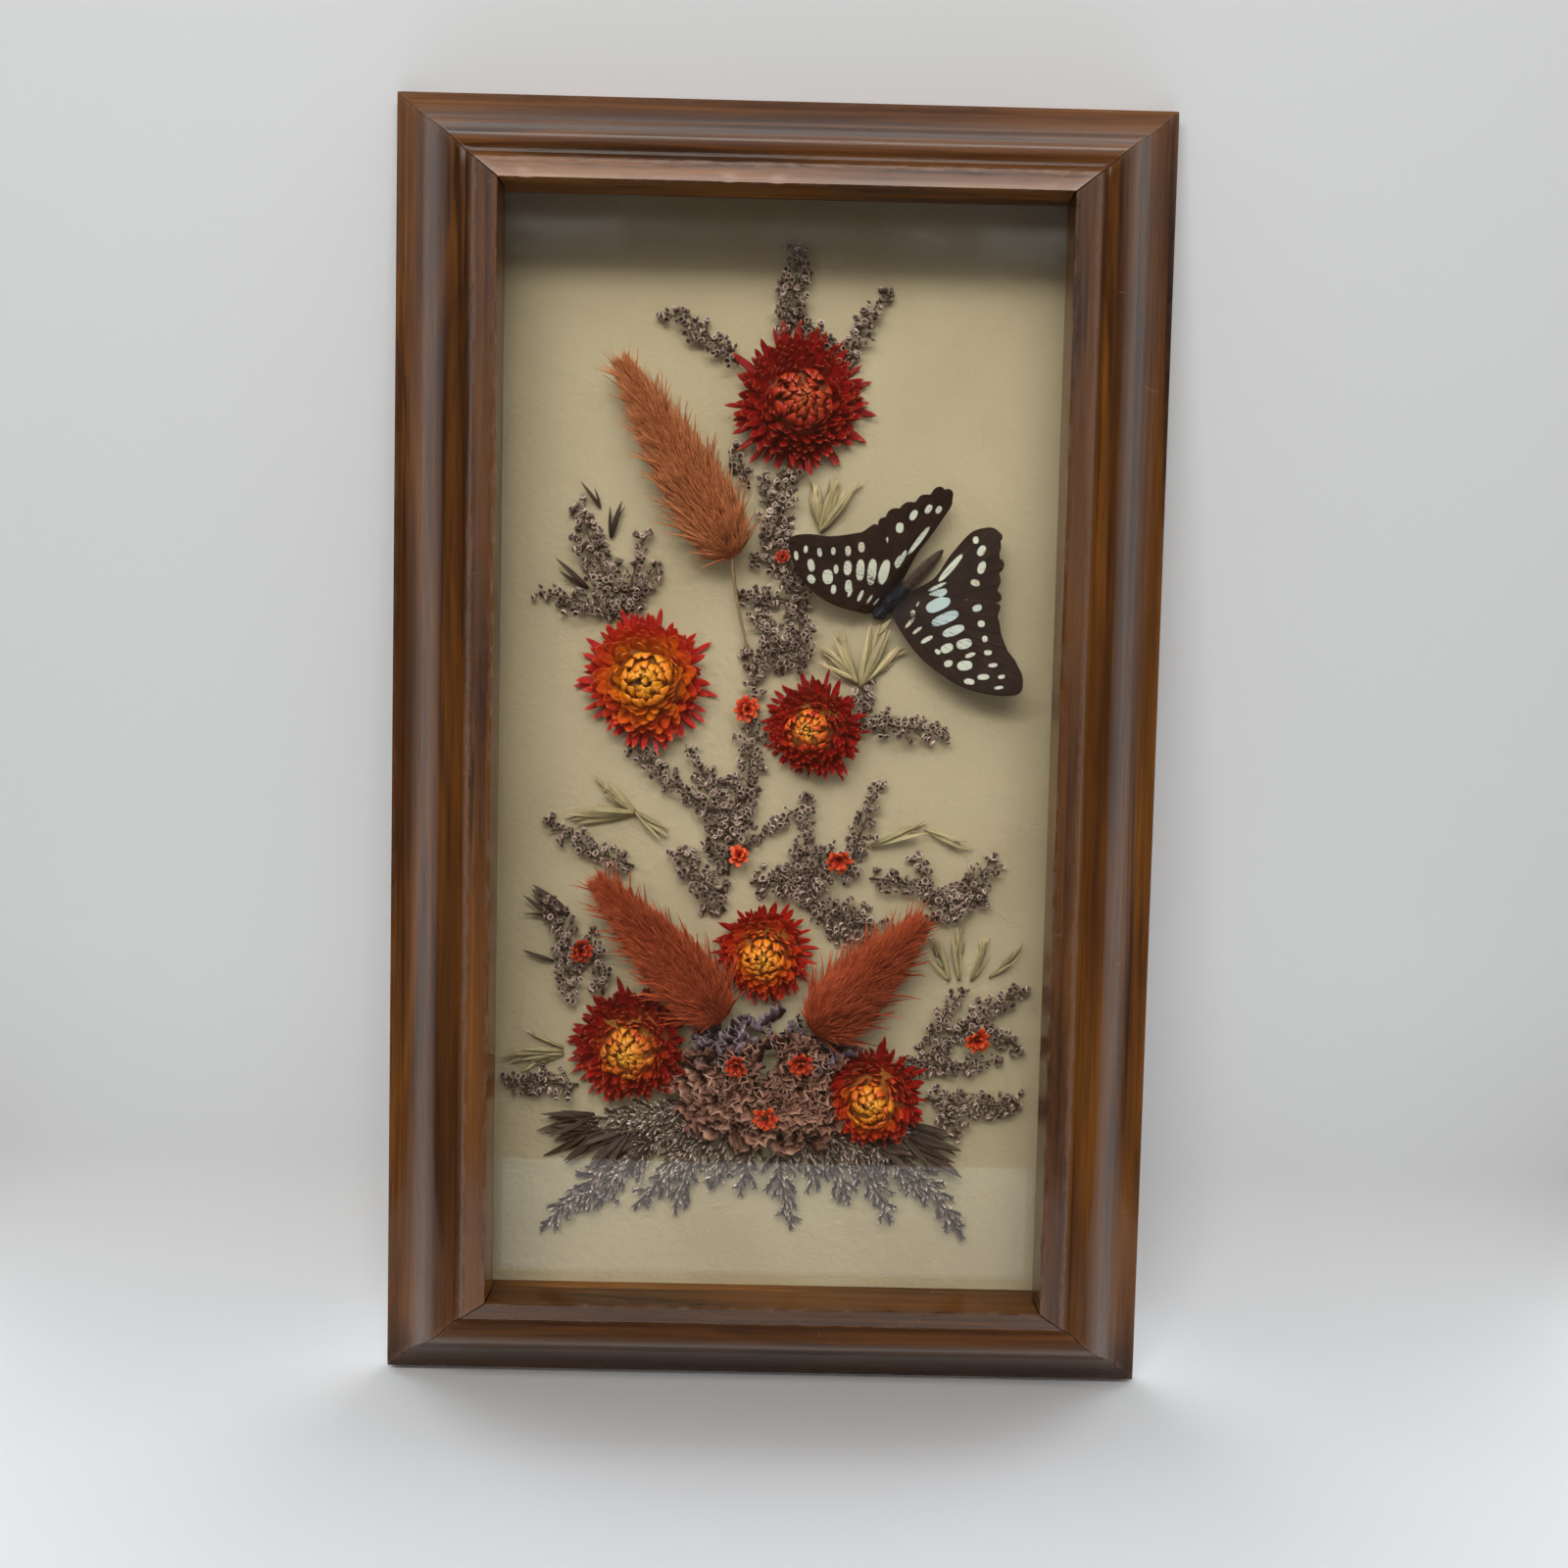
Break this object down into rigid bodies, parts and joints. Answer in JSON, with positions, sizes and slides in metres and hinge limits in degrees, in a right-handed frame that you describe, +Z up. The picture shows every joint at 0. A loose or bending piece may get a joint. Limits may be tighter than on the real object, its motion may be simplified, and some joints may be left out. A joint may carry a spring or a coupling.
{
  "type": "butterfly display case",
  "caption": "Deep wooden shadow-box frame that shows a spread butterfly and dried flowers behind glass, closed by a back board under turn buttons, with a sawtooth wall hanger.",
  "frame": {"origin": "on the case's back plane, at the middle notch of the sawtooth hanger, where the wall nail carries the case", "axes": "+Z up the case, +Y out of its back towards the wall, so the glass faces -Y and +X is to the viewer's right"},
  "size_m": [0.215, 0.0488, 0.358],
  "materials": {
    "walnut_stain": "satin",
    "brad_steel": "satin",
    "clear_glass": "gloss",
    "bead_wood": "matte",
    "cream_paper": "matte",
    "grey_board": "matte",
    "corrugated_board": "matte",
    "hardboard": "matte",
    "brassed_plate": "satin",
    "brassed_screw": "satin",
    "brassed_hanger": "satin",
    "nail_steel": "satin",
    "butterfly_body": "matte",
    "wing_scales": "matte",
    "bracts_red": "satin",
    "bracts_orange": "satin",
    "star_petals": "satin",
    "tail_tan": "matte",
    "tail_brown": "matte",
    "hydrangea_petals": "matte",
    "statice_mauve": "matte",
    "silver_twigs": "matte",
    "dark_leaves": "matte",
    "pale_grass": "matte"
  },
  "bodies": {
    "case": {"top_rail": "walnut_stain", "bottom_rail": "walnut_stain", "left_rail": "walnut_stain", "right_rail": "walnut_stain", "corner_brads": "brad_steel", "glass_pane": "clear_glass", "glazing_beads": "bead_wood", "backing_paper": "cream_paper", "mount_board": "grey_board", "filler_boards": "corrugated_board", "rear_cover": "hardboard", "button_screws": "brassed_screw", "sawtooth_hanger": "brassed_hanger", "hanger_nails": "nail_steel", "butterfly_body": "butterfly_body", "forewing_left": "wing_scales", "hindwing_left": "wing_scales", "forewing_right": "wing_scales", "hindwing_right": "wing_scales", "strawflower_top": "bracts_red", "strawflower_left": "bracts_orange", "strawflower_right": "bracts_red", "strawflower_middle": "bracts_orange", "strawflower_low_left": "bracts_red", "strawflower_low_right": "bracts_red", "star_flowers": "star_petals", "bunny_tail_upper": "tail_tan", "bunny_tail_low_left": "tail_brown", "bunny_tail_low_right": "tail_brown", "hydrangea_clump": "hydrangea_petals", "statice_top": "statice_mauve", "statice_centre": "statice_mauve", "statice_middle": "statice_mauve", "statice_left": "statice_mauve", "statice_right": "statice_mauve", "statice_low_left": "statice_mauve", "statice_low_right": "statice_mauve", "twig_fringe": "silver_twigs", "dark_leaves": "dark_leaves", "grasses": "pale_grass"},
    "turn_button_upper_left": {"turn_button_upper_left": "brassed_plate"},
    "turn_button_upper_right": {"turn_button_upper_right": "brassed_plate"},
    "turn_button_lower_left": {"turn_button_lower_left": "brassed_plate"},
    "turn_button_lower_right": {"turn_button_lower_right": "brassed_plate"}
  },
  "joints": [
    {"name": "upper_left_button_turn", "type": "hinge", "parent": "case", "child": "turn_button_upper_left", "pos_m": [-0.0895, 0.0004, -0.058], "axis": [0, 1, 0], "continuous": true},
    {"name": "upper_right_button_turn", "type": "hinge", "parent": "case", "child": "turn_button_upper_right", "pos_m": [0.0895, 0.0004, -0.058], "axis": [0, 1, 0], "continuous": true},
    {"name": "lower_left_button_turn", "type": "hinge", "parent": "case", "child": "turn_button_lower_left", "pos_m": [-0.0895, 0.0004, -0.268], "axis": [0, 1, 0], "continuous": true},
    {"name": "lower_right_button_turn", "type": "hinge", "parent": "case", "child": "turn_button_lower_right", "pos_m": [0.0895, 0.0004, -0.268], "axis": [0, 1, 0], "continuous": true}
  ]
}
